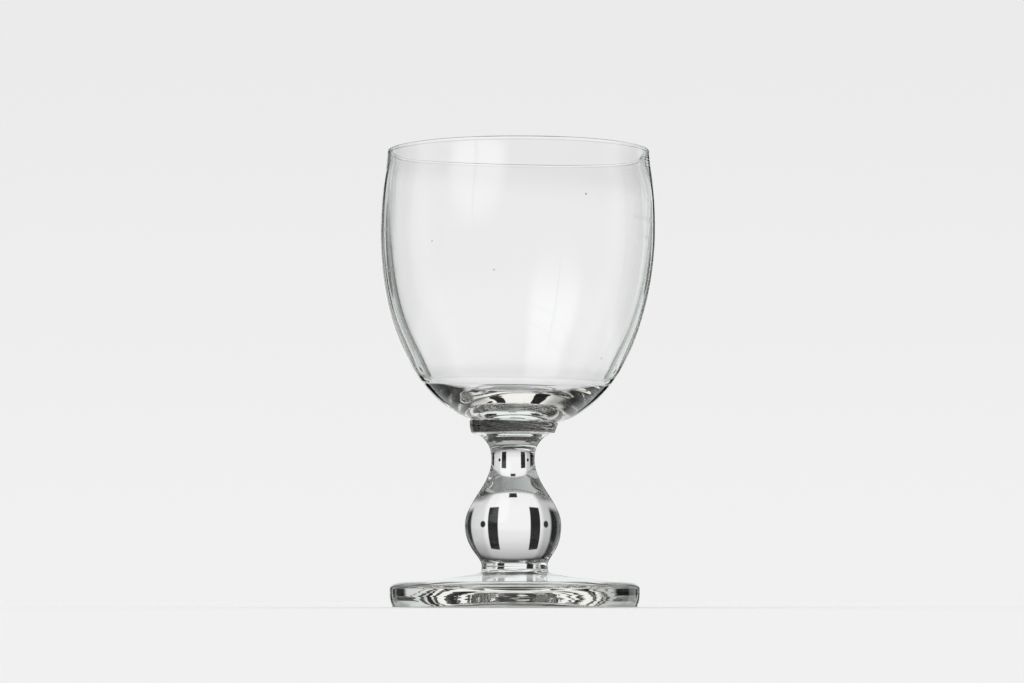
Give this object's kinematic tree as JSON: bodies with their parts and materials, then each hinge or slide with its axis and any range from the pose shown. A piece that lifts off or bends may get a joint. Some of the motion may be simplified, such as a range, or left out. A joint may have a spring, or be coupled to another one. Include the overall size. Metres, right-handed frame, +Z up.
{
  "type": "red wine glass",
  "caption": "Stemmed red wine glass in clear glass: round-bottomed bowl on a collar, solid baluster stem with a ball knop, and a thick domed foot.",
  "frame": {"origin": "middle of the surface that the foot stands on, on the glass's axis", "axes": "+Z up along the axis, from the foot to the rim; X and Y are free, because the glass is round"},
  "size_m": [0.0814, 0.0814, 0.135],
  "materials": {
    "clear_glass": "clear colourless glass, fire-polished and smooth, with a ground standing ring under the foot"
  },
  "bodies": {
    "root": {"bowl": "clear_glass", "collar": "clear_glass", "stem": "clear_glass", "foot": "clear_glass"}
  },
  "joints": []
}
